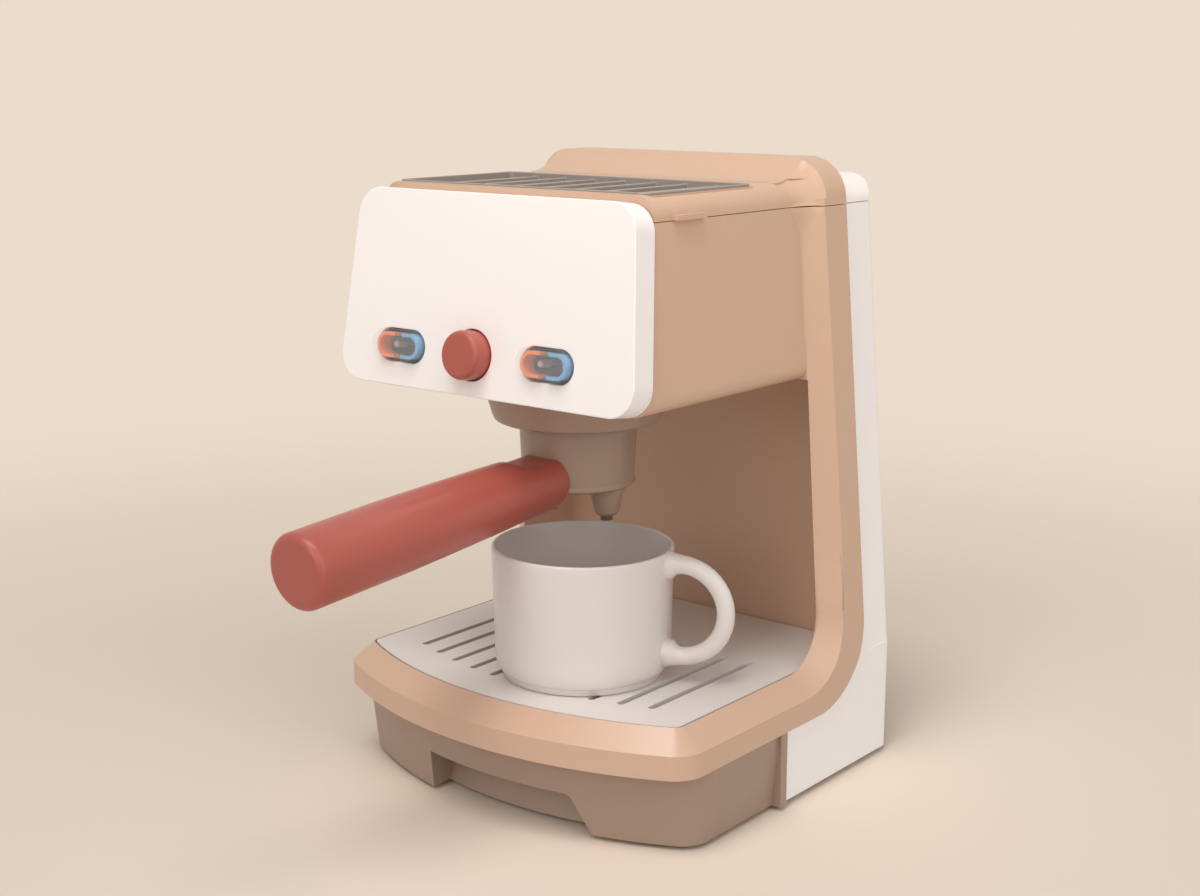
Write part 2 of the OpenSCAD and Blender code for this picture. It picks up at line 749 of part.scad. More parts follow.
module fascia() color(white_c) on_fascia() difference() {
    union() {
        difference() {
            translate([0, 0, -fascia_d]) linear_extrude(fascia_d)
                trapezoid(fascia_low, fascia_top, fascia_h, fascia_r, fascia_r);
            translate([0, rim_t, -fascia_d - 1]) linear_extrude(fascia_d + 1 - panel_t)
                trapezoid(fascia_low - rim_t, fascia_top - rim_t, fascia_h - 2 * rim_t,
                    fascia_r - rim_t, fascia_r - rim_t);
        }
        at_control(0) translate([0, 0, guide_end])
            cylinder(-guide_end - panel_t / 2, r = button_r + 2.4);
        // posts that carry the circuit board
        for (s = [-1, 1]) translate([control_x + s * post_x, control_h, board_z + fixed_gap])
            cylinder(-board_z - panel_t / 2, r = 3);
    }
    at_control(0) translate([0, 0, -fascia_d - 2])
        cylinder(fascia_d + 4, r = button_r + loose + 0.1);
    for (i = [-1, 1]) at_control(i) translate([0, 0, -panel_t - 1])
        linear_extrude(panel_t + 2) capsule(lens_w + 0.2, lens_h + 0.2);
    for (s = [-1, 1]) translate([control_x + s * post_x, control_h, board_z])
        cylinder(12, r = pilot_r);
}

module lens(i) color([0.85, 0.9, 0.95, 0.45]) on_fascia() at_control(i) difference() {
    union() {
        translate([0, 0, -panel_t - 0.1]) linear_extrude(panel_t + 0.1 + lens_proud)
            capsule(lens_w, lens_h);
        translate([0, 0, -panel_t - 1.6]) linear_extrude(1.5)
            capsule(lens_w + 3, lens_h + 3);
    }
    translate([0, 0, -panel_t - 2]) linear_extrude(panel_t + 2 + lens_proud - 1.3)
        capsule(lens_w - 2.6, lens_h - 2.6);
}

module lens_left() lens(-1);

module lens_right() lens(1);

insert_z = -panel_t - 1.6;
insert_h = panel_t + 1.6 + lens_proud - 1.7;

// coloured bowls that sit in the two ends of each lens
module lens_insert(side) for (i = [-1, 1]) on_fascia() at_control(i)
    translate([0, 0, insert_z]) linear_extrude(insert_h) difference() {
        intersection() {
            capsule(lens_w - 3.2, lens_h - 3.2);
            translate([side > 0 ? 2 : 4.4 - lens_w, -lens_h / 2]) square([lens_w - 6.4, lens_h]);
        }
        intersection() {
            capsule(lens_w - 6, lens_h - 6);
            translate([side > 0 ? -1 : 7.4 - lens_w, -lens_h / 2])
                square([lens_w - 6.4, lens_h]);
        }
    }

module indicator_orange() color([0.95, 0.5, 0.15]) lens_insert(-1);

module indicator_blue() color([0.35, 0.62, 0.78]) lens_insert(1);

led_r = 1.5;
led_x = 6.4;                               // each lamp off the middle of its lens

led_lift = -board_z - 9;                   // the lamps stand on long leads

module led_lamps() color([0.9, 0.9, 0.85]) for (i = [-1, 1]) on_fascia() at_control(i)
    for (s = [-1, 1]) translate([s * led_x, 0, board_z + fixed_gap]) {
        cylinder(led_lift, r = 0.7);
        translate([0, 0, led_lift - 0.1]) cylinder(5, r = led_r);
        translate([0, 0, led_lift + 4.9]) sphere(led_r);
    }

module circuit_board() color([0.2, 0.45, 0.3]) on_fascia() difference() {
    translate([control_x - board_w / 2, control_h - board_h / 2 + 2, board_z - board_t])
        cube([board_w, board_h, board_t]);
    for (s = [-1, 1]) translate([control_x + s * post_x, control_h, board_z - board_t - 1])
        cylinder(board_t + 2, r = 1.3);
}

// screw standing on the underside of its head
module screw(r, len, head_r, head_t) {
    cylinder(head_t, r = head_r);
    cylinder(len, r = r);
}

module board_screws() color(steel_c) on_fascia() for (s = [-1, 1])
    translate([control_x + s * post_x, control_h, board_z - board_t - fixed_gap - 1.2])
        screw(pilot_r - run_fit, 9, 2.4, 1.2);

module push_button() color(red_c) on_fascia() at_control(0) rotate_extrude()
    polygon([[0, stem_end], [2, stem_end], [2, flange_z - flange_t],
        [button_r + 1.6, flange_z - flange_t], [button_r + 1.6, flange_z],
        [button_r, flange_z], [button_r, button_proud - 2],
        [button_r - 0.6, button_proud - 0.6], [button_r - 2, button_proud],
        [0, button_proud]]);

// plunger of the push switch, which goes in and out with the button
module switch_plunger() color(white_c) on_fascia() at_control(0)
    translate([0, 0, board_z + fixed_gap + switch_h - 1])
        cylinder(stem_end - board_z - switch_h + 1 - 2 * fixed_gap, r = plunger_r);

// its case holds the return spring out of sight
module button_switch() color(dark_c) on_fascia() at_control(0)
    translate([0, 0, board_z + fixed_gap]) difference() {
        translate([-4, -4, 0]) cube([8, 8, switch_h]);
        translate([0, 0, 0.6]) cylinder(switch_h, r = plunger_r + run_fit);
    }

// ---------- lid ----------

lid_top_z = deck_z + 1.8;                  // top of the white rear part of the lid
fascia_top_z = fascia_z + fascia_h * cos(fascia_tilt);
lid_front = back_of_fascia(fascia_top_z) + seam_gap; // upright, so that the lid swings clear
tray_y0 = lid_front + 1.8;
tray_y1 = brew_y + 32.2;
tray_half = head_half_top - 5.4;
tray_sink = 5;
tray_r = 4;

module tray_outline(d) translate([0, (tray_y0 + tray_y1) / 2]) {
    w = tray_half - d;
    l = (tray_y1 - tray_y0) / 2 - d;
    r = max(tray_r - d, 1);
    square([2 * (w - r), 2 * l], center = true);
    square([2 * w, 2 * (l - r)], center = true);
    for (sx = [-1, 1], sy = [-1, 1]) translate([sx * (w - r), sy * (l - r)]) circle(r);
}

module lid_block(t) {
    head_block(t, y_column + band_drop);
    frame_block(t);
    // hollow curve from the deck up to the arch
    if (t == 0) intersection() {
        along_x(head_half_top - head_top_r / 2) difference() {
            polygon([[y_column - fillet_run, deck_z - wall], [y_column + 2, deck_z - wall],
                [y_column + fillet_rise, deck_z + fillet_rise],
                [y_column, deck_z + fillet_rise], [y_column - fillet_run, deck_z]]);
            translate([y_column - fillet_run, deck_z + deck_fillet_r])
                circle(deck_fillet_r);
        }
        along_y(-far, far) frame_front(0);
    }
}

fillet_run = deck_fillet_r * tan(22.5) + 1.2;
fillet_rise = (fillet_run - 1.2) * cos(45) + 1.2;

module lid_top() color(tan_c) difference() {
    union() {
        difference() {
            intersection() {
                lid_block(0);
                translate([-far / 2, lid_front, seam_z + seam_gap]) cube(far);
            }
            intersection() {
                lid_block(wall);
                translate([-far / 2, lid_front + 1.5, 0]) cube(far);
            }
            // well for the cup warmer
            translate([0, 0, deck_z - tray_sink]) linear_extrude(far) tray_outline(-0.2);
        }
        // floor and walls of the well
        translate([0, 0, deck_z - tray_sink - wall]) linear_extrude(tray_sink + wall - 0.5)
            difference() {
                tray_outline(-1.5);
                tray_outline(-0.2);
            }
        translate([0, 0, deck_z - tray_sink - wall]) linear_extrude(wall)
            tray_outline(-1);
        // thumb tabs
        both_sides() translate([inner_half(seam_z) - 1, brew_y - 30.5, seam_z + seam_gap])
            cube([3.6, 19, 2]);
    }
}

module lid_back() color(white_c) difference() {
    union() {
        difference() {
            intersection() {
                cover_block(0, seam_z + seam_gap, lid_top_z);
                along_y(y_flange + fixed_gap, far) lid_back_outline(0);
            }
            intersection() {
                cover_block(cover_wall, seam_z, lid_top_z - cover_wall);
                along_y(y_flange - 1, far) lid_back_outline(cover_wall);
            }
        }
        both_sides() hinge_knuckle(hinge_x);
    }
    both_sides() {
        hinge_bore();
        for (s = [-1, 1]) translate([hinge_x + s * (knuckle_w + 0.4), y_hinge, hinge_z])
            rotate([0, 90, 0]) cylinder(knuckle_w + 0.4, r = knuckle_r + loose, center = true);
    }
}

module lid_back_outline(t) {
    zc = lid_top_z - arch_r + 4;
    r = arch_r - 4 - t;
    xc = outer_half(zc) - cover_inset - (arch_r - 4) / cos(lean_out);
    difference() {
        translate([-far / 2, 0]) square([far, lid_top_z - t]);
        for (m = [0, 1]) mirror([m, 0]) difference() {
            polygon([[xc, zc], [xc, zc + far], [xc + far, zc + far],
                [xc + far * cos(lean_out), zc + far * sin(lean_out)]]);
            translate([xc, zc]) circle(r);
        }
    }
}

rib_n = 7;
tray_floor = 1.6;

module warmer_tray() color(grey_c) difference() {
    union() {
        translate([0, 0, deck_z - tray_sink + 0.1]) linear_extrude(tray_sink + 0.5)
            difference() {
                tray_outline(0);
                tray_outline(2);
            }
        translate([0, 0, deck_z - tray_sink + 0.1]) linear_extrude(tray_floor)
            tray_outline(1);
        // ribs that the cups stand on
        for (k = [1:rib_n]) {
            x = -tray_half + 2 * tray_half * k / (rib_n + 1);
            translate([x - 1.5, tray_y0 + 1, deck_z - tray_sink + 0.1])
                cube([3, tray_y1 - tray_y0 - 2, tray_sink - 1]);
        }
    }
}

// ---------- water ----------

tank_half = inner_half(seam_z) - wall - 6;
tank_y0 = brew_y - 30;
tank_y1 = brew_y + 58;
tank_z1 = deck_z - tray_sink - wall - 3;
tank_z0 = tank_z1 - tank_h;

module tank_outline(d) translate([0, (tank_y0 + tank_y1) / 2]) {
    w = tank_half - d;
    l = (tank_y1 - tank_y0) / 2 - d;
    r = 8 - d;
    square([2 * (w - r), 2 * l], center = true);
    square([2 * w, 2 * (l - r)], center = true);
    for (sx = [-1, 1], sy = [-1, 1]) translate([sx * (w - r), sy * (l - r)]) circle(r);
}

module water_tank() color([0.8, 0.86, 0.9, 0.6]) difference() {
    union() {
        translate([0, 0, tank_z0]) linear_extrude(tank_h) tank_outline(0);
        // feet that stand on the head's floor
        both_sides() for (y = [tank_y0 + 12, tank_y1 - 12])
            translate([tank_half - 14, y, head_z + wall + fixed_gap])
                cylinder(tank_z0 - head_z - wall, r = 4);
    }
    translate([0, 0, tank_z0 + tank_wall]) linear_extrude(tank_h) tank_outline(tank_wall);
    translate([0, brew_y, tank_z0 - 1]) cylinder(tank_wall + 2, r = pipe_r - 1.5);
}

module water_pipe() color(grey_c) translate([0, brew_y, head_z - 8]) difference() {
    cylinder(tank_z0 - head_z + 8 - fixed_gap, r = pipe_r);
    translate([0, 0, -1]) cylinder(tank_z0 - head_z + 10, r = pipe_r - 1.5);
}

// pump that pushes the water down the pipe, standing on the head's floor
module water_pump() color(dark_c) translate([0, brew_y, head_z + wall + fixed_gap])
    difference() {
        h = tank_z0 - head_z - wall - 2 * fixed_gap;
        union() {
            cylinder(h, r = 13);
            translate([8, -9, 0]) cube([26, 18, h - 1]);
        }
        translate([0, 0, -1]) cylinder(h + 2, r = pipe_r + run_fit);
    }

// ---------- brew group ----------

collar_z = head_z - collar_h;
lip_t = 4.5;                               // thickness of the lip that holds the lugs
lug_t = 4;
lug_z = collar_z + lip_t + 0.1;
lug_span = 34;                             // angle of a lug
bore_r = cup_r + 1;
twist = 40;                                // angle from locked to free

module sector(r, h, a) {
    linear_extrude(h) polygon([[0, 0], for (k = [0:6])
        [r / cos(a / 12) * cos(-a / 2 + a * k / 6), r / cos(a / 12) * sin(-a / 2 + a * k / 6)]]);
}

module group_collar() color(skirt_c) translate([0, brew_y, 0]) difference() {
    rotate_extrude() polygon([[0, head_z - 0.05], [collar_top_r, head_z - 0.05],
        [collar_top_r - 0.8, head_z - 4.6], [collar_top_r - 2, head_z - 5.2],
        [collar_low_r, collar_z + 2.6], [collar_low_r - 0.9, collar_z + 0.8],
        [collar_low_r - 2.8, collar_z], [0, collar_z]]);
    // chamber in which the lugs turn
    translate([0, 0, collar_z + lip_t]) cylinder(collar_h - lip_t - 2.4, r = lug_reach + 1.2);
    translate([0, 0, collar_z - 1]) cylinder(lip_t + 2, r = bore_r);
    // entry slots for the lugs, at the free angle
    for (a = [0, 180]) rotate(a - twist) intersection() {
        translate([0, 0, collar_z - 1]) sector(lug_reach + 4, lip_t + 2, lug_span + 4);
        translate([0, 0, collar_z - 2]) cylinder(lip_t + 4, r = lug_reach + 0.8);
    }
    translate([0, 0, head_z - 9]) cylinder(12, r = pipe_r + loose);
}

cup_top_z = collar_z + lip_t + lug_t + 2;
cup_wall = 2.4;

module filter_cup() color(skirt_c) translate([0, brew_y, 0]) difference() {
    union() {
        rotate_extrude() polygon([[0, cup_z], [cup_low_r - 1.2, cup_z],
            [cup_low_r + 0.3, cup_z + 1.2], [cup_low_r + 0.3, cup_z + 2.4],
            [cup_low_r, cup_z + 3], [cup_r, collar_z], [cup_r, cup_top_z], [0, cup_top_z]]);
        // locking lugs
        for (a = [0, 180]) rotate(a) intersection() {
            translate([0, 0, lug_z]) sector(lug_reach + 4, lug_t, lug_span);
            translate([0, 0, lug_z - 1]) cylinder(lug_t + 2, r = lug_reach);
        }
        // spouts
        both_sides() translate([spout_x, 0, cup_z - spout_h]) rotate_extrude()
            polygon([[0, 0], [spout_low_r - 1.2, 0], [spout_low_r, 1.2],
                [spout_top_r, spout_h + 1], [0, spout_h + 1]]);
        // tang that the handle is pressed on
        handle_axis() translate([0, 0, cup_low_r - 1]) cylinder(30, r = 5);
    }
    // the bowl
    translate([0, 0, cup_z + 4]) cylinder(far, r = cup_low_r - cup_wall);
    // ways down through the spouts
    both_sides() translate([spout_x, 0, cup_z - spout_h - 1]) {
        cylinder(spout_h + 12, r = outlet_r - 0.8);
        cylinder(9, r = outlet_r + run_fit);
    }
}

// the handle's axis: z outwards along the handle, x to the right
module handle_axis() translate([0, 0, cup_z + handle_rise]) rotate([90 + handle_droop, 0, 0])
    children();

module outlet_tubes() color(dark_c) translate([0, brew_y, 0]) both_sides()
    translate([spout_x, 0, cup_z - spout_h - outlet_h]) difference() {
        cylinder(outlet_h + 7.8, r = outlet_r);
        translate([0, 0, -1]) cylinder(far / 4, r = outlet_r - 0.9);
    }

disc_z = cup_z + 10;

module filter_disc() color(steel_c) translate([0, brew_y, disc_z]) difference() {
    union() {
        cylinder(1.2, r = cup_low_r - cup_wall - 0.1);
        translate([0, 0, -5.95]) difference() {
            cylinder(6, r = cup_low_r - cup_wall - 0.1);
            translate([0, 0, -1]) cylinder(8, r = cup_low_r - cup_wall - 1.4);
        }
    }
    for (ring = [0:3]) for (k = [0:max(0, 6 * ring - 1)]) rotate(60 * k / max(1, ring))
        translate([4.6 * ring, 0, -1]) cylinder(4, r = 0.9, $fn = 24);
}

module filter_handle() color(red_c) translate([0, brew_y, 0]) difference() {
    handle_axis() rotate_extrude() polygon([[0, cup_low_r - 4],
        [handle_root_r - 1.6, cup_low_r - 4], [handle_root_r - 1, cup_r + 4],
        [handle_root_r - 1.4, cup_r + 12], [handle_root_r - 0.6, cup_r + 18],
        [handle_root_r + 0.4, cup_r + 26],
        [handle_end_r, handle_len - 50], [handle_end_r, handle_len - handle_round],
        for (k = [1:6]) [handle_end_r - handle_round + handle_round * cos(15 * k),
            handle_len - handle_round + handle_round * sin(15 * k)],
        [0, handle_len]]);
    // saddle that fits the cup's wall
    translate([0, 0, cup_z - 10]) cylinder(collar_z - cup_z + 10, r1 = cup_low_r + 0.5,
        r2 = cup_r + 0.5);
    handle_axis() translate([0, 0, cup_low_r - 2]) cylinder(31.4, r = 5 + run_fit);
}

// ---------- drip tray ----------

// outline of the well that the drip tray lies in, drawn in by d
module tray_well_outline(d) plan_outline(outer_low, frame_r, frame_corner_r, frame_w + d,
    y_niche - d, corner_bite);

basin_z = base_z + 26;                     // underside of the basin
basin_rim_t = 2;
basin_wall = 1.8;

module drip_basin() color(tan_c) difference() {
    union() {
        translate([0, 0, ledge_z + 0.05]) linear_extrude(basin_rim_t)
            tray_well_outline(loose);
        translate([0, 0, basin_z]) linear_extrude(ledge_z - basin_z + 1)
            tray_well_outline(ledge_w + 2.4);
    }
    translate([0, 0, basin_z + basin_wall]) linear_extrude(far)
        tray_well_outline(ledge_w + 2.4 + basin_wall);
}

plate_lift = 5;
plate_gap = loose + plate_lift * tan(lean_in); // the sides lean in above the plate
basin_rim_z = ledge_z + 0.05 + basin_rim_t;

function front_edge(x) = y_centre - sqrt(pow(front_r, 2) - pow(x, 2));

module slot(x) translate([x, 0]) {
    y0 = front_edge(x) + slot_margin + slot_w / 2;
    y1 = brew_y + slot_reach - slot_w / 2;
    translate([-slot_w / 2, y0]) square([slot_w, y1 - y0]);
    for (y = [y0, y1]) translate([0, y]) circle(slot_w / 2, $fn = 32);
}

module drip_plate() color(white_c) {
    translate([0, 0, plate_z - plate_t]) linear_extrude(plate_t) difference() {
        tray_well_outline(plate_gap);
        for (k = [-slot_side:slot_side]) slot(k * slot_pitch);
    }
    // rib under the edge, which stands on the basin's rim
    translate([0, 0, basin_rim_z + 0.05]) linear_extrude(plate_z - plate_t - basin_rim_z)
        difference() {
            tray_well_outline(1.2);
            tray_well_outline(3.4);
        }
}

// ---------- cup ----------

mug_z = plate_z + fixed_gap;
mug_y = brew_y - mug_front;
mug_low_r = mug_r - 1.2;
mug_step = 3;                              // height of the step at the foot

module cup() color(white_c) translate([mug_x, mug_y, mug_z]) rotate(mug_turn)
    difference() {
        union() {
            rotate_extrude() polygon([[0, 0.8], [mug_foot_r - 4, 0.8], [mug_foot_r - 3, 0],
                [mug_foot_r - 0.5, 0], [mug_foot_r, 0.5], [mug_foot_r + 0.5, mug_step],
                for (k = [0:6]) [mug_low_r - 2.2 * (1 - sin(15 * k)),
                    mug_step + 0.4 + 7 * (1 - cos(15 * k))],
                [mug_r, mug_h - 1], [mug_r - 0.4, mug_h - 0.3], [mug_r - 1.3, mug_h],
                [0, mug_h]]);
            // the ear
            translate([mug_r + 5, 0, loop_z]) rotate([90, 0, 0]) difference() {
                rotate_extrude() translate([loop_r, 0]) circle(loop_bar_r, $fn = 48);
                translate([-far - 7.5, -far / 2, -far / 2]) cube(far);
            }
        }
        translate([0, 0, 3.4]) rotate_extrude() polygon([[0, 0], [mug_low_r - mug_wall - 8, 0],
            for (k = [1:6]) [mug_low_r - mug_wall - 8 + 8 * sin(15 * k), 8 * (1 - cos(15 * k))],
            [mug_r - mug_wall, mug_h - 4.2], [mug_r - mug_wall + 0.6, mug_h],
            [0, mug_h]]);
    }

// ---------- inside the base ----------

module speaker() color(dark_c) translate([0, grille_y, base_z + floor_t + 0.05])
    rotate_extrude() polygon([[0, 1], [speaker_r - 3, 1], [speaker_r - 2, 0],
        [speaker_r, 0], [speaker_r, 2], [11, 6], [11, 10], [0, 10]]);

box_t = 1.6;
box_z = base_z + floor_t + 2 + fixed_gap;  // underside of the battery box, on the lip
cell_pitch = 2 * cell_r + 1;
box_w = cell_len + 2 * box_t + 4;
box_l = 3 * cell_pitch + 2 * box_t;

module battery_box() color(dark_c) difference() {
    translate([-box_w / 2, door_y - box_l / 2, box_z])
        cube([box_w, box_l, 2 * cell_r + box_t + 0.8]);
    translate([box_t - box_w / 2, door_y - box_l / 2 + box_t, box_z - 1])
        cube([box_w - 2 * box_t, box_l - 2 * box_t, 2 * cell_r + 1.6]);
}

module battery_cells() color([0.7, 0.5, 0.25]) for (k = [-1:1])
    translate([0, door_y + k * cell_pitch, box_z + cell_r + 0.3]) rotate([0, 90, 0]) {
        cylinder(cell_len - 1.5, r = cell_r, center = true);
        translate([0, 0, (k == 0 ? -1 : 1) * cell_len / 2 - 1]) cylinder(2, r = 2.6);
    }

module battery_contacts() color(steel_c) for (s = [-1, 1])
    translate([s * (box_w / 2 - box_t - 0.4), door_y, box_z + cell_r]) {
        cube([0.5, box_l - 2 * box_t - 2, 9], center = true);
    }

screw_y = door_y + door_l / 2 - door_rest / 2;

module battery_door() color(skirt_c) difference() {
    translate([-door_w / 2, door_y - door_l / 2, base_z])
        cube([door_w, door_l, floor_t - fixed_gap]);
    translate([0, screw_y, base_z - 1]) {
        cylinder(8, r = screw_r + 0.3);
        cylinder(1 + low_head + fixed_gap, r = screw_head_r + loose);
    }
}

low_head = 1.2;                            // thickness of a low screw head

module door_screw() color(steel_c) translate([0, screw_y, base_z])
    screw(screw_r, 4.2, screw_head_r, low_head);

module base_screws() color(steel_c) both_sides() for (y = boss_y)
    translate([boss_x, y, base_z + tower_sink - 2 - fixed_gap])
        screw(screw_r, 24, screw_head_r, 2);

module cover_screws() color(steel_c) for (p = cover_screw_xz)
    translate([p[0], cover_back(p[1]) - well_d + low_head + fixed_gap, p[1]]) rotate([90, 0, 0])
        screw(screw_r, 7, screw_head_r, low_head);

module rubber_feet() color(dark_c) for (p = foot_xy) translate([p[0], p[1], 0])
    cylinder(foot_gap + 0.95, r = foot_r);

front_shell();
base_skirt();
rear_cover();
fascia();
group_collar();
drip_basin();
drip_plate();
water_tank();
water_pipe();
lid_top();
lid_back();
warmer_tray();
hinge_pins();
water_pump();
filter_cup();
filter_disc();
outlet_tubes();
filter_handle();
cup();
push_button();
switch_plunger();
button_switch();
lens_left();
lens_right();
indicator_orange();
indicator_blue();
circuit_board();
led_lamps();
board_screws();
speaker();
battery_box();
battery_cells();
battery_contacts();
battery_door();
door_screw();
base_screws();
cover_screws();
rubber_feet();
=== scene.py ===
import bmesh
import bpy
import json
import math
from mathutils import Matrix, Vector
from mathutils.bvhtree import BVHTree


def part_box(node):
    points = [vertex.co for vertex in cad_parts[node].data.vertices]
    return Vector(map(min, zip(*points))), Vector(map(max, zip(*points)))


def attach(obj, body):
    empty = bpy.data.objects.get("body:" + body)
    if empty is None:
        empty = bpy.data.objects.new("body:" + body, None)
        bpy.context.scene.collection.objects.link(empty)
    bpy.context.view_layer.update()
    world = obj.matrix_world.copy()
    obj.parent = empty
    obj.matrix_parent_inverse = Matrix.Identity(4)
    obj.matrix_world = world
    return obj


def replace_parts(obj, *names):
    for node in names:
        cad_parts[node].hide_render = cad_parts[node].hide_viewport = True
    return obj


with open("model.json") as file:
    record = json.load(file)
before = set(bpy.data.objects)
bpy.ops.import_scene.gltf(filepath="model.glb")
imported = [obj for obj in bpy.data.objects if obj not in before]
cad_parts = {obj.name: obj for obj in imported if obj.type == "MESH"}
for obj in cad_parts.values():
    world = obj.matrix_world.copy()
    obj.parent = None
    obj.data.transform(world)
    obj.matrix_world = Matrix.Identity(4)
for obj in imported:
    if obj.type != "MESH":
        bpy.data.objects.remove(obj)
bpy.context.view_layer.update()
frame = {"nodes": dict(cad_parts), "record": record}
nodes = frame["nodes"]
scene = bpy.context.scene
scene.view_settings.view_transform = "Standard"
MM = 0.001

# ---------- measures in mm, from the frame ----------


def low(name, axis):
    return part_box(name)[0][axis] / MM


def high(name, axis):
    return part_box(name)[1][axis] / MM


BREW_Y = (low("group_collar", 1) + high("group_collar", 1)) / 2
SEAM_Z = high("front_shell", 2)
DECK_Z = high("warmer_tray", 2) - 0.6    # the tray's rim stands this much over the deck
PLATE_Z = high("drip_plate", 2)
HEAD_Z = high("group_collar", 2)
COLUMN_Y = BREW_Y + 59.2         # front edge of the columns and of the arch
HEAD_HALF_TOP = 72.3             # half width of the head at the seam
HALF_LOW = 86.3                  # half width between the columns at the plate
LEAN = math.atan((HALF_LOW - HEAD_HALF_TOP) / (SEAM_Z - PLATE_Z))

# ---------- view, floor and light ----------

VIEW_TURN = 39.15                # camera's turn round the object and tilt, in degrees
VIEW_TILT = 12.30
VIEW_PLACE = (476.05, -546.09, 308.74)    # in mm
VIEW_LENS = 52.98
BACKGROUND = (0.831, 0.716, 0.597)
FLOOR_TONE = 1.03                # floor colour against the background, for an even floor
FLOOR_BOUNCE = (0.80, 0.75, 0.71)    # what it throws back on the object, nearly neutral
FLOOR_FADE = (0.30, 0.95)        # where the floor turns from lit to plain colour, in metres
FLOOR_HALF = 30                  # half the floor's width, in metres
AMBIENT = 0.26
HEAD_MIDDLE = (0, 0, 0.25)       # what the small softbox points at


def make_camera():
    data = bpy.data.cameras.new("camera")
    data.sensor_width = 36
    data.lens = VIEW_LENS
    data.clip_start = 0.01
    camera = bpy.data.objects.new("camera", data)
    camera.location = Vector(VIEW_PLACE) * MM
    camera.rotation_euler = (math.radians(90 - VIEW_TILT), 0, math.radians(VIEW_TURN))
    scene.collection.objects.link(camera)
    scene.camera = camera


def sun(name, towards, angle, strength, colour):
    """A very soft distant lamp that stands in the direction `towards`, as a large softbox."""
    data = bpy.data.lights.new(name, "SUN")
    data.angle = math.radians(angle)
    data.energy = strength
    data.color = colour
    lamp = bpy.data.objects.new(name, data)
    lamp.location = Vector(towards).normalized() * 2
    lamp.rotation_euler = Vector(towards).to_track_quat("Z", "Y").to_euler()
    scene.collection.objects.link(lamp)


def overhead(place, size, watts):
    """A small softbox close over the head, which lights the arch and the deck most."""
    data = bpy.data.lights.new("overhead", "AREA")
    data.size = size
    data.energy = watts
    data.color = (1.0, 0.985, 0.975)
    lamp = bpy.data.objects.new("overhead", data)
    lamp.location = place
    away = Vector(place) - Vector(HEAD_MIDDLE)
    lamp.rotation_euler = away.to_track_quat("Z", "Y").to_euler()
    scene.collection.objects.link(lamp)


def seen_rays(tree):
    """1 for rays of the camera, of reflections and through clear plastic, 0 for light."""
    path = tree.nodes.new("ShaderNodeLightPath")
    out = path.outputs["Is Camera Ray"]
    for name in ("Is Glossy Ray", "Is Transmission Ray"):
        either = tree.nodes.new("ShaderNodeMath")
        either.operation = "MAXIMUM"
        tree.links.new(out, either.inputs[0])
        tree.links.new(path.outputs[name], either.inputs[1])
        out = either.outputs["Value"]
    return out


def floor_material():
    """Pale floor that takes the object's shadow near it and is the plain background far off."""
    mat = bpy.data.materials.new("floor")
    mat.use_nodes = True
    tree = mat.node_tree
    tree.nodes.remove(tree.nodes["Principled BSDF"])
    near = tree.nodes.new("ShaderNodeBsdfDiffuse")
    tone = tree.nodes.new("ShaderNodeMix")
    tone.data_type = "RGBA"
    tone.inputs["A"].default_value = FLOOR_BOUNCE + (1,)
    tone.inputs["B"].default_value = tuple(c * FLOOR_TONE for c in BACKGROUND) + (1,)
    tree.links.new(seen_rays(tree), tone.inputs["Factor"])
    tree.links.new(tone.outputs["Result"], near.inputs["Color"])
    far = tree.nodes.new("ShaderNodeEmission")
    far.inputs["Color"].default_value = BACKGROUND + (1,)
    coord = tree.nodes.new("ShaderNodeTexCoord")
    reach = tree.nodes.new("ShaderNodeVectorMath")
    reach.operation = "LENGTH"
    tree.links.new(coord.outputs["Object"], reach.inputs[0])
    fade = tree.nodes.new("ShaderNodeMapRange")
    fade.interpolation_type = "SMOOTHSTEP"
    fade.inputs["From Min"].default_value = FLOOR_FADE[0]
    fade.inputs["From Max"].default_value = FLOOR_FADE[1]
    tree.links.new(reach.outputs["Value"], fade.inputs["Value"])
    mix = tree.nodes.new("ShaderNodeMixShader")
    tree.links.new(fade.outputs["Result"], mix.inputs["Fac"])
    tree.links.new(near.outputs["BSDF"], mix.inputs[1])
    tree.links.new(far.outputs["Emission"], mix.inputs[2])
    tree.links.new(mix.outputs["Shader"], tree.nodes["Material Output"].inputs["Surface"])
    return mat


def make_floor():
    mesh = bpy.data.meshes.new("floor")
    half = FLOOR_HALF
    mesh.from_pydata([(-half, -half, 0), (half, -half, 0), (half, half, 0), (-half, half, 0)],
                     [], [(0, 1, 2, 3)])
    mesh.materials.append(floor_material())
    floor = bpy.data.objects.new("floor", mesh)
    scene.collection.objects.link(floor)


def make_light():
    world = bpy.data.worlds.new("studio")
    scene.world = world
    world.use_nodes = True
    tree = world.node_tree
    light = tree.nodes["Background"]
    light.inputs["Color"].default_value = (1.0, 0.975, 0.955, 1)
    light.inputs["Strength"].default_value = AMBIENT
    seen = tree.nodes.new("ShaderNodeBackground")
    seen.inputs["Color"].default_value = BACKGROUND + (1,)
    seen.inputs["Strength"].default_value = 1
    mix = tree.nodes.new("ShaderNodeMixShader")
    tree.links.new(seen_rays(tree), mix.inputs["Fac"])
    tree.links.new(light.outputs["Background"], mix.inputs[1])
    tree.links.new(seen.outputs["Background"], mix.inputs[2])
    tree.links.new(mix.outputs["Shader"], tree.nodes["World Output"].inputs["Surface"])
    sun("softbox", (0.03, -0.36, 0.93), 26, 1.04, (1.0, 0.985, 0.975))
    sun("front_fill", (0.12, -0.87, 0.47), 50, 0.75, (1.0, 0.99, 0.985))
    overhead((0.10, -0.10, 0.50), 0.16, 0.30)
    sun("side_fill", (0.90, -0.10, 0.50), 60, 0.80, (1.0, 0.99, 0.985))


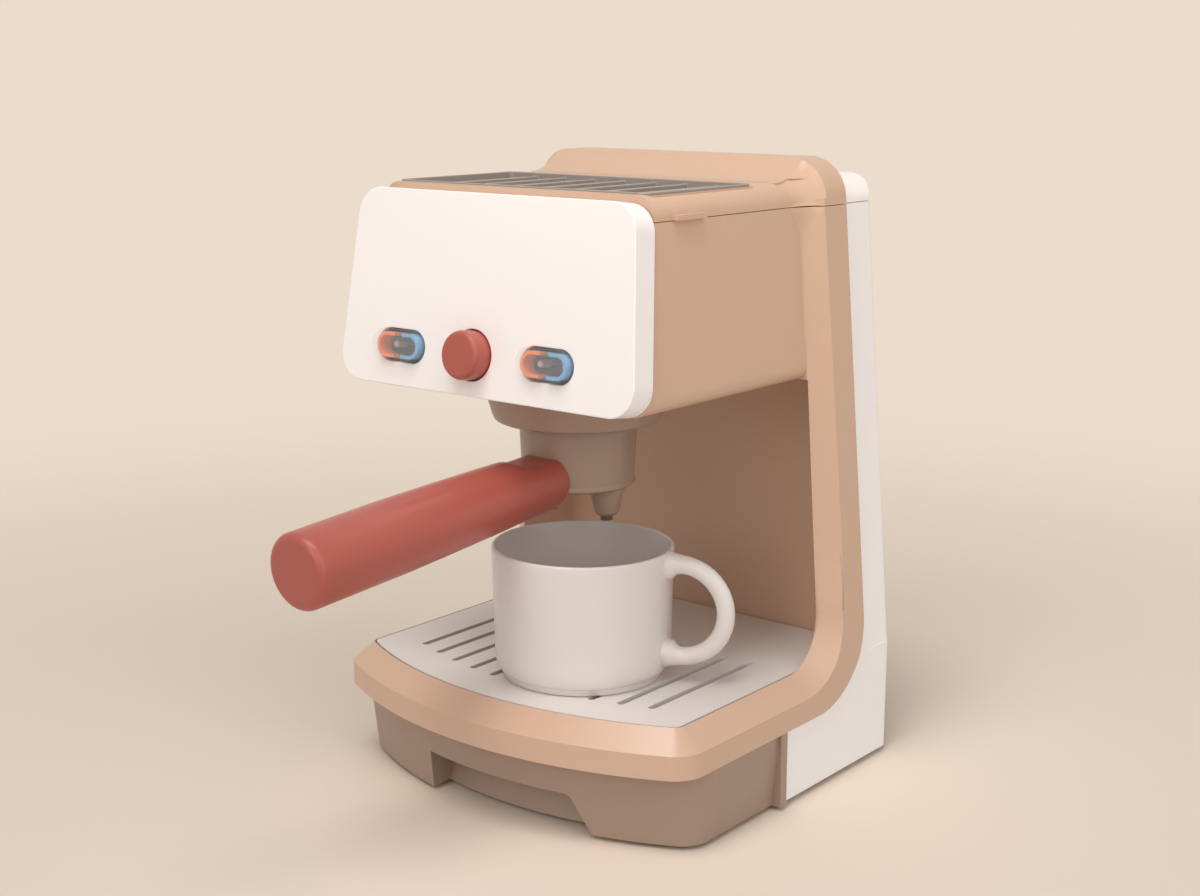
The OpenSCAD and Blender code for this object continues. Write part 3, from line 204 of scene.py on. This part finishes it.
# ---------- materials ----------

CLOUD_SCALE = 18                 # size of the cloudiness and of the grain of moulded plastic
GRAIN_SCALE = 2600
GRAIN_DEPTH = 0.00002            # in metres


def plastic(name, colour, rough=0.36, grain=0.5, tone=0.02):
    """Moulded plastic: a little cloudiness of colour and gloss, and a fine moulded grain."""
    mat = bpy.data.materials.new(name)
    mat.use_nodes = True
    tree = mat.node_tree
    bsdf = tree.nodes["Principled BSDF"]
    coord = tree.nodes.new("ShaderNodeTexCoord")
    cloud = tree.nodes.new("ShaderNodeTexNoise")
    cloud.inputs["Scale"].default_value = CLOUD_SCALE
    cloud.inputs["Detail"].default_value = 3
    tree.links.new(coord.outputs["Object"], cloud.inputs["Vector"])
    mix = tree.nodes.new("ShaderNodeMix")
    mix.data_type = "RGBA"
    mix.inputs["A"].default_value = tuple(c * (1 - tone) for c in colour) + (1,)
    mix.inputs["B"].default_value = tuple(min(1, c * (1 + tone)) for c in colour) + (1,)
    tree.links.new(cloud.outputs["Fac"], mix.inputs["Factor"])
    tree.links.new(mix.outputs["Result"], bsdf.inputs["Base Color"])
    gloss = tree.nodes.new("ShaderNodeMapRange")
    gloss.inputs["To Min"].default_value = max(rough - 0.05, 0.02)
    gloss.inputs["To Max"].default_value = rough + 0.05
    tree.links.new(cloud.outputs["Fac"], gloss.inputs["Value"])
    tree.links.new(gloss.outputs["Result"], bsdf.inputs["Roughness"])
    fine = tree.nodes.new("ShaderNodeTexNoise")
    fine.inputs["Scale"].default_value = GRAIN_SCALE
    fine.inputs["Detail"].default_value = 2
    tree.links.new(coord.outputs["Object"], fine.inputs["Vector"])
    bump = tree.nodes.new("ShaderNodeBump")
    bump.inputs["Strength"].default_value = grain
    bump.inputs["Distance"].default_value = GRAIN_DEPTH
    tree.links.new(fine.outputs["Fac"], bump.inputs["Height"])
    tree.links.new(bump.outputs["Normal"], bsdf.inputs["Normal"])
    return mat


def srgb(r, g, b):
    def lin(v):
        v /= 255
        return v / 12.92 if v <= 0.04045 else ((v + 0.055) / 1.055) ** 2.4
    return lin(r), lin(g), lin(b)


def clear(name, colour, alpha, rough=0.06):
    """Thin clear plastic: what lies behind shows through, under a glossy surface."""
    mat = plastic(name, colour, rough, 0.05, 0.01)
    mat.node_tree.nodes["Principled BSDF"].inputs["Alpha"].default_value = alpha
    return mat


MATERIALS = {
    "tan_plastic": plastic("tan_plastic", srgb(210, 175, 150), 0.34),
    "brown_plastic": plastic("brown_plastic", srgb(165, 140, 122), 0.38),
    "white_plastic": plastic("white_plastic", srgb(251, 246, 243), 0.34),
    "plate_plastic": plastic("plate_plastic", srgb(228, 222, 217), 0.36),
    "cup_plastic": plastic("cup_plastic", srgb(228, 220, 215), 0.26),
    "red_plastic": plastic("red_plastic", srgb(174, 87, 76), 0.32),
    "grey_plastic": plastic("grey_plastic", srgb(152, 143, 135), 0.30),
    "dark_plastic": plastic("dark_plastic", srgb(96, 80, 68), 0.45),
    "clear_plastic": clear("clear_plastic", srgb(236, 238, 240), 0.13),
    "tank_plastic": clear("tank_plastic", srgb(205, 218, 226), 0.55, 0.2),
    "orange_plastic": plastic("orange_plastic", srgb(250, 128, 24), 0.22),
    "blue_plastic": plastic("blue_plastic", srgb(92, 172, 220), 0.22),
    "lamp": plastic("lamp", srgb(205, 205, 205), 0.15),
    "steel": plastic("steel", srgb(190, 190, 192), 0.3),
    "board": plastic("board", srgb(60, 110, 80), 0.4),
    "cell": plastic("cell", srgb(170, 140, 95), 0.35),
    "rubber": plastic("rubber", srgb(66, 62, 58), 0.7),
}
MATERIALS["steel"].node_tree.nodes["Principled BSDF"].inputs["Metallic"].default_value = 1.0

slot_of = {row["node"]: row["material_slot"] for row in frame["record"]["subparts"]}
body_of = {name: body for body, names in frame["record"]["behaviour"]["bodies"].items()
           for name in names}


# ---------- helpers ----------

def dress(obj, name):
    """Give a new piece the finish of a CAD node and let it ride on the node's body."""
    obj.data.materials.clear()
    obj.data.materials.append(MATERIALS[slot_of[name]])
    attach(obj, body_of[name])


def new_object(name, verts, faces):
    mesh = bpy.data.meshes.new(name)
    mesh.from_pydata([tuple(c * MM for c in v) for v in verts], [], faces)
    bm = bmesh.new()
    bm.from_mesh(mesh)
    bmesh.ops.remove_doubles(bm, verts=bm.verts, dist=1e-6)
    bmesh.ops.recalc_face_normals(bm, faces=bm.faces)
    bm.to_mesh(mesh)
    bm.free()
    obj = bpy.data.objects.new(name, mesh)
    scene.collection.objects.link(obj)
    return obj


def smooth(mesh, angle):
    for p in mesh.polygons:
        p.use_smooth = True
    mesh.set_sharp_from_angle(angle=math.radians(angle))


def apply(obj):
    depsgraph = bpy.context.evaluated_depsgraph_get()
    mesh = bpy.data.meshes.new_from_object(obj.evaluated_get(depsgraph))
    obj.modifiers.clear()
    old = obj.data
    obj.data = mesh
    bpy.data.meshes.remove(old)


def weighted(obj):
    mod = obj.modifiers.new("normals", "WEIGHTED_NORMAL")
    mod.keep_sharp = True
    mod.weight = 80


def rounded(name, width, crease=28, segments=3):
    """A copy of a CAD node with every sharp edge rounded, as it comes out of a mould."""
    mesh = nodes[name].data.copy()
    mesh.name = name + "_moulded"
    bm = bmesh.new()
    bm.from_mesh(mesh)
    bmesh.ops.remove_doubles(bm, verts=bm.verts, dist=2e-6)
    bmesh.ops.dissolve_limit(bm, angle_limit=math.radians(0.4), verts=bm.verts,
                             edges=bm.edges)
    bm.to_mesh(mesh)
    bm.free()
    obj = bpy.data.objects.new(name + "_moulded", mesh)
    scene.collection.objects.link(obj)
    bevel = obj.modifiers.new("edges", "BEVEL")
    bevel.width = width * MM
    bevel.segments = segments
    bevel.limit_method = "ANGLE"
    bevel.angle_limit = math.radians(crease)
    bevel.use_clamp_overlap = True
    bevel.miter_outer = "MITER_ARC"
    apply(obj)
    smooth(obj.data, 40)
    weighted(obj)
    dress(obj, name)
    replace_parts(obj, name)


def surface_of(name):
    """The surface of a CAD node, to find points on it."""
    mesh = nodes[name].data
    return BVHTree.FromPolygons([v.co for v in mesh.vertices],
                                [p.vertices for p in mesh.polygons])


def stitch(rows):
    """Quads between closed rows of vertex numbers."""
    faces = []
    for a, b in zip(rows, rows[1:]):
        n = len(a)
        for k in range(n):
            faces.append((a[k], a[(k + 1) % n], b[(k + 1) % n], b[k]))
    return faces


def tube(name, verts, rows, angle, owner):
    """A closed piece through rows of vertices, in the finish of a CAD node."""
    faces = stitch(rows) + [tuple(rows[0]), tuple(rows[-1])]
    obj = new_object(name, verts, faces)
    smooth(obj.data, angle)
    dress(obj, owner)
    return obj


def ramp(v, a, b):
    """0 below a, 1 above b, and smooth between."""
    t = min(max((v - a) / (b - a), 0), 1)
    return t * t * (3 - 2 * t)


# ---------- cup ----------

MUG_X = 13
MUG_Y = BREW_Y - 12.8
MUG_Z = PLATE_Z + 0.05
MUG_R = 38.9                     # rim
MUG_LOW_R = 37.7                 # where the wall starts
MUG_FOOT_R = 34.4
MUG_FLOOR = 3.4                  # height of the foot, where the wall's curve starts
MUG_H = 56.6
MUG_WALL = 2.0
LOW_CURVE_H = 7                  # the wall's lower curve outside, and inside
INNER_CURVE_H = 8
RIM_R = 0.9
MUG_TURN = 18                    # direction of the ear
LOOP_R = 20                      # the ear's ring and its middle
LOOP_Z = 31.6
LOOP_OUT = 5                     # the ring's middle, outside the rim
BAR_R = 3.8
FLARE_BAR = 2.2                  # how much the bar thickens at the wall


def mug_wall_r(z):
    """Outer radius of the leaning wall."""
    return MUG_LOW_R + (MUG_R - MUG_LOW_R) * (z - 10.4) / (MUG_H - 11.4)


def mug_outline():
    """Half section of the cup from the middle of its foot, round the rim, to its inside."""
    points = [(0, 0.8), (MUG_FOOT_R - 4.4, 0.8), (MUG_FOOT_R - 3.4, 0.15)]
    points += [(MUG_FOOT_R - 3, 0), (MUG_FOOT_R - 0.8, 0), (MUG_FOOT_R - 0.2, 0.25),
               (MUG_FOOT_R, 0.8), (MUG_FOOT_R + 0.45, 2.7), (MUG_FOOT_R + 0.75, 3.1)]
    for k in range(0, 10):
        a = math.radians(10 * k)
        points.append((MUG_LOW_R - 2.0 * (1 - math.sin(a)),
                       MUG_FLOOR + LOW_CURVE_H * (1 - math.cos(a))))
    points += [(mug_wall_r(z), z) for z in (16, 24, 32, 40, 48, 53)]
    for k in range(0, 9):
        a = math.radians(22.5 * k)
        points.append((MUG_R - RIM_R + RIM_R * math.cos(a),
                       MUG_H - RIM_R + RIM_R * math.sin(a)))
    points += [(mug_wall_r(z) - MUG_WALL, z) for z in (52, 44, 36, 28, 20, 13)]
    for k in range(8, -1, -1):
        a = math.radians(10 * k)
        points.append((MUG_LOW_R - MUG_WALL - INNER_CURVE_H * (1 - math.sin(a)),
                       MUG_FLOOR + INNER_CURVE_H * (1 - math.cos(a))))
    points.append((0, MUG_FLOOR))
    return points


def mug():
    """Turned cup, and an ear that widens where it meets the wall."""
    around = 144
    verts, rows = [], []
    for r, z in mug_outline():
        if r == 0:
            verts.append((0, 0, z))
            rows.append([len(verts) - 1])
            continue
        rows.append(list(range(len(verts), len(verts) + around)))
        for k in range(around):
            a = 2 * math.pi * k / around
            verts.append((r * math.cos(a), r * math.sin(a), z))
    faces = stitch(rows[1:-1])
    for tip, ring in ((rows[0][0], rows[1]), (rows[-1][0], rows[-2])):
        faces += [(tip, ring[k], ring[(k + 1) % around]) for k in range(around)]
    middle = MUG_R + LOOP_OUT
    steps, section = 120, 32
    ear = []
    for i in range(steps):
        a = 2 * math.pi * i / steps
        out = middle + LOOP_R * math.cos(a) - mug_wall_r(LOOP_Z)
        bar = BAR_R + FLARE_BAR * math.exp(-max(out - 1.5, 0) / FLARE_BAR)
        ring = []
        for k in range(section):
            b = 2 * math.pi * k / section
            u = middle + (LOOP_R + bar * math.cos(b)) * math.cos(a)
            w = bar * math.sin(b)
            z = LOOP_Z + (LOOP_R + bar * math.cos(b)) * math.sin(a)
            inside = mug_wall_r(z) - MUG_WALL / 2
            reach = math.hypot(u, w)
            if reach < inside:
                u, w = u * inside / reach, w * inside / reach
            ring.append(len(verts))
            verts.append((u, w, z))
        ear.append(ring)
    faces += stitch(ear + ear[:1])
    turn = Matrix.Rotation(math.radians(MUG_TURN), 3, "Z")
    verts = [turn @ Vector(v) + Vector((MUG_X, MUG_Y, MUG_Z)) for v in verts]
    obj = new_object("play_cup", verts, faces)
    smooth(obj.data, 60)
    dress(obj, "cup")
    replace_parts(obj, "cup")


# ---------- handle ----------

HANDLE_Z = 131.7 + 6.8           # height of the handle's axis at the brewing axis
HANDLE_LEN = 161.5
HANDLE_START = 20                # distance of the handle's inner end from the brewing axis
END_R = 15.1                     # the grip's end and the rounding of its edge
END_ROUND = 3
DROOP = 4                        # the handle points this much down, in degrees
HANDLE_PROFILE = [(HANDLE_START, 13.0), (34, 13.2), (46, 13.5), (60, 14.0), (86, 14.6),
                  (112, END_R), (HANDLE_LEN - END_ROUND, END_R)]
SADDLE_R = 25.3                  # the handle's inner end lies against the filter cup's wall
FLAT_UP = 10.2                   # height of the flat on the handle's root above the axis
FLAT_END = (39, 52)              # where the flat runs out
FREE_UP = 18                     # a height over the whole handle, so no flat


def handle_r(z):
    """Radius of the handle at a distance from the brewing axis."""
    for (z0, r0), (z1, r1) in zip(HANDLE_PROFILE, HANDLE_PROFILE[1:]):
        if z <= z1:
            return r0 + (r1 - r0) * (z - z0) / (z1 - z0)
    return HANDLE_PROFILE[-1][1]


def soft_min(a, b, blend=0.5):
    """The lower of two heights, with a rounded change from one to the other."""
    return -blend * math.log(math.exp(-a / blend) + math.exp(-b / blend))


def handle():
    """Turned grip with a flat on the top of its root."""
    around = 96
    rings = [(HANDLE_START, r) for r in (4, 8, 11)]
    rings += [(HANDLE_START + 1.2 * k, handle_r(HANDLE_START + 1.2 * k)) for k in range(34)]
    rings += [(62 + 6 * k, handle_r(62 + 6 * k)) for k in range(16)]
    for k in range(10):
        a = math.radians(10 * k)
        rings.append((HANDLE_LEN - END_ROUND + END_ROUND * math.sin(a),
                      END_R - END_ROUND + END_ROUND * math.cos(a)))
    rings += [(HANDLE_LEN, r) for r in (9, 6, 3)]
    turn = Matrix.Rotation(math.radians(90 + DROOP), 3, "X")
    verts, rows = [], []
    for z, r in rings:
        row = []
        top = FLAT_UP + (FREE_UP - FLAT_UP) * ramp(z, *FLAT_END)
        for k in range(around):
            a = 2 * math.pi * k / around
            x, up = r * math.cos(a), soft_min(r * math.sin(a), top)
            along = max(z, math.sqrt(SADDLE_R ** 2 - x * x) - 0.07 * up)
            row.append(len(verts))
            verts.append(turn @ Vector((x, up, along)) + Vector((0, BREW_Y, HANDLE_Z)))
        rows.append(row)
    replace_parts(tube("handle_grip", verts, rows, 35, "filter_handle"), "filter_handle")


# ---------- hollow curve where the head runs into the columns and the arch ----------

CORNER_R = 9                     # the head's rounded upper edge
FLARE_LOW = HEAD_Z + 7           # where the curve starts
FLARE_SIDE = (2.2, 2.0)          # the curve's reach forward and outward beside the head
FLARE_MORE = (9.9, 6.6)          # how much more it reaches over the head
FLARE_SNAP = 2.5                 # its edge moves this far at most to lie on the solid


def head_outline():
    """Points up the head's right side and over its top: place, outward direction."""
    points = []
    heights = list(range(int(FLARE_LOW), int(DECK_Z - CORNER_R), 3))
    for z in sorted(heights + [SEAM_Z - 0.1, SEAM_Z + 0.3]):
        half = HEAD_HALF_TOP + (SEAM_Z - z) * math.tan(LEAN)
        points.append((half, z, math.cos(LEAN), math.sin(LEAN)))
    centre = HEAD_HALF_TOP - CORNER_R - 0.5, DECK_Z - CORNER_R
    for k in range(13):
        a = math.radians(90 * k / 12)
        points.append((centre[0] + CORNER_R * math.cos(a), centre[1] + CORNER_R * math.sin(a),
                       math.cos(a), math.sin(a)))
    points += [(centre[0] * (1 - k / 8), DECK_Z, 0, 1) for k in range(1, 9)]
    return points


def flare(name, owner, z0, z1):
    """Filled hollow curve along the head's outline between two heights, on both sides."""
    half = [p for p in head_outline() if z0 <= p[1] <= z1 + 0.001]
    over = half[-1][0] == 0
    surface = surface_of(owner)
    path = half + [(-x, z, -nx, nz) for x, z, nx, nz in half[-2::-1]] if over else half
    steps = 10
    for mirror in (1,) if over else (1, -1):
        verts, rows = [], []
        for x, z, nx, nz in path:
            up = ramp(z, SEAM_Z - 14, DECK_Z - 3)
            full = 0.03 + 0.97 * ramp(z, HEAD_Z + 6, HEAD_Z + 22)
            forward = (FLARE_SIDE[0] + FLARE_MORE[0] * up) * full
            rise = (FLARE_SIDE[1] + FLARE_MORE[1] * up) * full
            x, nx = x * mirror, nx * mirror
            start = Vector((x, COLUMN_Y - forward, z))
            corner = Vector((x, COLUMN_Y, z))
            end = Vector((x + nx * rise, COLUMN_Y + rise - 1.2 * nz ** 4, z + nz * rise))
            place, normal, _, gap = surface.find_nearest(end * MM)
            if gap < FLARE_SNAP * MM:
                end = place / MM - normal * 0.05
            row = []
            for k in range(steps + 1):
                t = k / steps
                v = start * (1 - t) ** 2 + corner * (2 * t * (1 - t)) + end * t ** 2
                row.append(len(verts))
                verts.append(v + Vector((nx, -1, nz)) * 0.04)
            row.append(len(verts))
            verts.append(corner + Vector((-nx * 0.6, 1.2, -nz * 0.6)))
            rows.append(row)
        tube(name, verts, rows, 50, owner)


# ---------- wedges that even out small steps ----------

LOOK_Y = 40                      # the front faces are looked for from here on
WEDGE_BACK = 0.6                 # thickness of the wedge behind its front
BRIDGE = [-1.5, -1.1, -0.6, -0.1]    # points before the step, over its rounded edge
ARCH_STEP_X = 67.07              # the step beside the arch's corner
SWEEP_STEP_X = 84.8              # the step over the sweep, at the column's inner edge
SWEEP_STEP_Z = 76.1


def even_step(name, owner, place, marks, run, share=lambda v: 1):
    """Wedge beside a small step in a front face, so that the face runs on smoothly.

    place(u, v) is the x and z of a point u beyond the step, at the mark v along it, and
    share(v) is how much of the step the wedge fills there. Both sides get one.
    """
    surface = surface_of(owner)

    def front(u, v):
        x, z = place(u, v)
        hit = surface.ray_cast(Vector((x, LOOK_Y, z)) * MM, Vector((0, 1, 0)))[0]
        return None if hit is None else hit.y / MM

    for mirror in (1, -1):
        verts, rows = [], []
        for v in marks:
            proud, deep = front(-0.3, v), front(0.1, v)
            if proud is None or deep is None:
                continue
            row = []
            for u in BRIDGE + [0.1 + run * k / 16 for k in range(17)]:
                y = front(u, v)
                if y is None:
                    row.append(row[-1])
                    continue
                if u < 0:
                    y += 0.1 - (0.13 * share(v) if u > -1.2 else 0)
                else:
                    y += 0.06 * u / run - 0.03
                    y -= max(deep - proud, 0) * (1 - ramp(u, 0, run)) * share(v)
                x, z = place(u, v)
                row.append((x * mirror, y, z))
            row += [(x, y + WEDGE_BACK, z) for x, y, z in reversed(row)]
            rows.append(list(range(len(verts), len(verts) + len(row))))
            verts += row
        tube(name, verts, rows, 40, owner)


def arch_place(u, v):
    """Outward from the step, at the height v."""
    return ARCH_STEP_X + u, v


def arch_share(v):
    """Little of the step at the deck, where it is deep, and all of it above."""
    return ramp(v, DECK_Z, DECK_Z + 1.8)


def sweep_place(u, v):
    """Up the leaning column from the step, at the width v."""
    return v - u * math.tan(LEAN), SWEEP_STEP_Z + (v - SWEEP_STEP_X) * math.tan(LEAN) + u


# ---------- build ----------

make_camera()
make_floor()
make_light()

# pieces without rounded edges keep the CAD shape
for name, node in nodes.items():
    node.data.materials.clear()
    node.data.materials.append(MATERIALS[slot_of[name]])

# rounding of each piece's edges, in mm
EDGES = {"front_shell": 0.7, "lid_top": 0.7, "fascia": 0.9, "base_skirt": 0.8,
         "rear_cover": 0.8, "lid_back": 0.8, "drip_plate": 0.35, "warmer_tray": 0.4,
         "group_collar": 0.4, "filter_cup": 0.4, "push_button": 0.4,
         "lens_left": 0.5, "lens_right": 0.5, "outlet_tubes": 0.15}
for name, width in EDGES.items():
    rounded(name, width)
mug()
handle()
flare("lid_flare", "lid_top", SEAM_Z + 0.3, DECK_Z)
flare("column_flare", "front_shell", FLARE_LOW, SEAM_Z)
even_step("arch_wedge", "lid_top", arch_place,
          [DECK_Z + 0.1 + 0.4 * k for k in range(22)], 7, arch_share)
even_step("sweep_wedge", "front_shell", sweep_place,
          [SWEEP_STEP_X + 0.15 + 0.7 * k for k in range(14)], 26)
